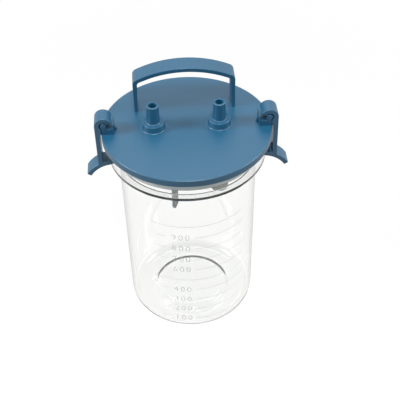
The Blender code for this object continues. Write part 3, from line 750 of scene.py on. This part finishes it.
def latch_outline():
    """The latch's side shape about its pivot, with +x outward. It runs clockwise from the knuckle's tip."""
    tab_centre = (-TAB_ARC_IN, -TAB_ARC_DROP)
    tab_low_r = TAB_TOP_R - TAB_WALL
    arm_in = KNUCKLE_R - ARM_WALL
    nose_top = LEDGE_Z - SEAT_GAP - PIVOT_Z

    def tab_angle(x, radius):
        return math.degrees(math.acos((x - tab_centre[0]) / radius))

    def on_tab(x, radius):
        return (x, tab_centre[1] + math.sqrt(radius ** 2 - (x - tab_centre[0]) ** 2))

    points = arc((0.0, 0.0), KNUCKLE_R, KNUCKLE_TIP_DEG, 0.0, 3 * CORNER_STEPS)
    outer = on_tab(KNUCKLE_R + LATCH_FILLET_R, TAB_TOP_R + LATCH_FILLET_R)
    outer_deg = tab_angle(outer[0], TAB_TOP_R + LATCH_FILLET_R)
    points += arc(outer, LATCH_FILLET_R, 180.0, 180.0 + outer_deg, FILLET_STEPS)
    points += arc(tab_centre, TAB_TOP_R, outer_deg, TAB_TIP_DEG)[1:]
    points += arc(tab_centre, tab_low_r, TAB_TIP_DEG, tab_angle(-HOOK_REACH, tab_low_r), 2 * CORNER_STEPS)
    points += [(-HOOK_REACH, nose_top - HOOK_NOSE_RAMP), (HOOK_NOSE_RAMP - HOOK_REACH, nose_top)]
    points += [(HOOK_NOSE - HOOK_REACH, nose_top), on_tab(HOOK_NOSE - HOOK_REACH, TAB_TOP_R)]
    inner = on_tab(arm_in - LATCH_FILLET_R, TAB_TOP_R + LATCH_FILLET_R)
    inner_deg = tab_angle(inner[0], TAB_TOP_R + LATCH_FILLET_R)
    points += arc(inner, LATCH_FILLET_R, 180.0 + inner_deg, 360.0, FILLET_STEPS)
    points += [(arm_in, -HEEL_DROP - HEEL_BEVEL), (HEEL_OUT, -HEEL_DROP)]
    heel_deg = math.degrees(math.acos(HEEL_OUT / KNUCKLE_BORE_R))
    inner_tip_deg = KNUCKLE_TIP_DEG - KNUCKLE_TIP_BEVEL_DEG
    points += arc((0.0, 0.0), KNUCKLE_BORE_R, -heel_deg, inner_tip_deg, 3 * CORNER_STEPS)
    return points


def make_latch(body, side):
    outline = [(side * x, z) for x, z in latch_outline()]
    half = LATCH_WIDTH / 2
    shape = prism(outline, -half, half, LATCH_EDGE_R, (side * PIVOT_X, PIVOT_Z))
    piece(body + "_moulding", [shape], BLUE, body, (body,))


# Floor, light and camera


def seen_rays(tree, *kinds):
    """1 for rays of these kinds, such as those that the camera sends out, and 0 for all others."""
    path = node_of(tree, "ShaderNodeLightPath")
    either = path.outputs[kinds[0]]
    for kind in kinds[1:]:
        larger = node_of(tree, "ShaderNodeMath", operation="MAXIMUM")
        tree.links.new(either, larger.inputs[0])
        tree.links.new(path.outputs[kind], larger.inputs[1])
        either = larger.outputs["Value"]
    return either


def matt_shade(tree, shade):
    """A matt grey shader."""
    matt = node_of(tree, "ShaderNodeBsdfDiffuse")
    matt.inputs["Color"].default_value = (shade, shade, shade, 1.0)
    return matt.outputs["BSDF"]


def glow_of(tree, strength):
    """A white shader that glows."""
    glow = node_of(tree, "ShaderNodeEmission")
    glow.inputs["Strength"].default_value = strength
    return glow.outputs["Emission"]


def make_floor():
    """White paper, with a faint shadow that fades out away from the canister."""
    builder = bmesh.new()
    bmesh.ops.create_circle(builder, cap_ends=True, segments=FLOOR_STEPS, radius=FLOOR_R)
    bmesh.ops.translate(builder, verts=builder.verts, vec=(0.0, 0.0, -FLOOR_DROP))
    mesh = bpy.data.meshes.new("studio_floor")
    builder.to_mesh(mesh)
    builder.free()
    paper = bpy.data.materials.new("studio_paper")
    paper.use_nodes = True
    tree = paper.node_tree
    tree.nodes.remove(tree.nodes["Principled BSDF"])
    place = node_of(tree, "ShaderNodeTexCoord")
    away = node_of(tree, "ShaderNodeVectorMath", operation="LENGTH")
    tree.links.new(place.outputs["Object"], away.inputs[0])
    fade = {"From_Min": SHADOW_FADE_R, "From_Max": SHADOW_END_R, "To_Min": SHADOW_SHARE, "To_Max": 0.0}
    share = eased(tree, away.outputs["Value"], **fade)
    shadowed = pick(tree, share, glow_of(tree, PAPER_SEEN), matt_shade(tree, PAPER_SHADE))
    glossy = seen_rays(tree, "Is Glossy Ray")
    seen = seen_rays(tree, "Is Camera Ray", "Is Transmission Ray")
    surface = pick(tree, glossy, matt_shade(tree, PAPER_BOUNCE), glow_of(tree, PAPER_GLOSS))
    surface = pick(tree, seen, surface, shadowed)
    tree.links.new(surface, tree.nodes["Material Output"].inputs["Surface"])
    mesh.materials.append(paper)
    floor = bpy.data.objects.new("studio_floor", mesh)
    bpy.context.scene.collection.objects.link(floor)


def make_world():
    """White air, which is seen and mirrored more brightly than it lights."""
    world = bpy.data.worlds.new("studio_air")
    world.use_nodes = True
    tree = world.node_tree
    air = tree.nodes["Background"]
    shades = [air, node_of(tree, "ShaderNodeBackground"), node_of(tree, "ShaderNodeBackground")]
    for shade, strength in zip(shades, (AIR_LIGHT, AIR_GLOSS, AIR_SEEN)):
        shade.inputs["Color"].default_value = (1.0, 1.0, 1.0, 1.0)
        shade.inputs["Strength"].default_value = strength
    glossy = seen_rays(tree, "Is Glossy Ray")
    seen = seen_rays(tree, "Is Camera Ray", "Is Transmission Ray")
    surface = pick(tree, glossy, air.outputs["Background"], shades[1].outputs["Background"])
    surface = pick(tree, seen, surface, shades[2].outputs["Background"])
    tree.links.new(surface, tree.nodes["World Output"].inputs["Surface"])
    bpy.context.scene.world = world


def add_softbox(name, azimuth_deg, elevation_deg, distance, size, watts):
    """A soft lamp aimed at the lid's centre. Azimuth 0 is at the front, and 90 on the +X side."""
    lamp = bpy.data.lights.new(name, "AREA")
    lamp.shape = "RECTANGLE"
    lamp.size = size[0]
    lamp.size_y = size[1]
    lamp.energy = watts
    holder = bpy.data.objects.new(name, lamp)
    bpy.context.scene.collection.objects.link(holder)
    turn = Matrix.Rotation(math.radians(azimuth_deg), 3, "Z")
    off = turn @ Vector((0.0, -math.cos(math.radians(elevation_deg)), math.sin(math.radians(elevation_deg))))
    holder.location = Vector((0.0, 0.0, LID_TOP_Z)) + distance * off
    holder.rotation_euler = off.to_track_quat("Z", "Y").to_euler()


def make_camera():
    """The camera stands off the lid's centre and is panned so that the centre falls on its pixel."""
    azimuth = math.radians(CAMERA_AZIMUTH_DEG)
    elevation = math.radians(CAMERA_ELEVATION_DEG)
    roll = math.radians(CAMERA_ROLL_DEG)
    level = math.cos(elevation)
    off = Vector((math.sin(azimuth) * level, -math.cos(azimuth) * level, math.sin(elevation)))
    level_right = (-off).cross(Vector((0.0, 0.0, 1.0))).normalized()
    level_up = level_right.cross(-off)
    right = math.cos(roll) * level_right - math.sin(roll) * level_up
    up = math.sin(roll) * level_right + math.cos(roll) * level_up
    aimed = Matrix((right, up, off)).transposed()
    pixel_x, pixel_y = LID_CENTRE_PIXEL
    half = IMAGE_SIDE / 2
    to_centre = Vector(((pixel_x - half) / FOCAL_PIXELS, (half - pixel_y) / FOCAL_PIXELS, -1.0))
    pan = to_centre.normalized().rotation_difference(Vector((0.0, 0.0, -1.0))).to_matrix()
    lens = bpy.data.cameras.new("photo_camera")
    lens.sensor_width = SENSOR_MM
    lens.lens = SENSOR_MM * FOCAL_PIXELS / IMAGE_SIDE
    lens.clip_start = CLIP_START
    camera = bpy.data.objects.new("photo_camera", lens)
    bpy.context.scene.collection.objects.link(camera)
    place = Vector((0.0, 0.0, LID_TOP_Z)) + CAMERA_DISTANCE * off
    camera.matrix_world = Matrix.Translation(place) @ (aimed @ pan).to_4x4()
    bpy.context.scene.camera = camera


make_jar()
make_lid()
make_seal()
make_latch("left_latch", -1.0)
make_latch("right_latch", 1.0)
smoothed("drip_tube", "drip_tube_smooth", TUBE, "canister")
smoothed("float_cage", "float_cage_smooth", VALVE, "canister")
smoothed("cage_cap", "cage_cap_smooth", VALVE, "canister")
smoothed("float", "float_smooth", VALVE, "valve_float")
smoothed("float_seal", "float_seal_smooth", RUBBER, "valve_float")

make_floor()
make_world()
for lamp_name, lamp_values in SOFTBOXES.items():
    add_softbox(lamp_name, *lamp_values)
make_camera()
bpy.context.scene.view_settings.view_transform = "Standard"
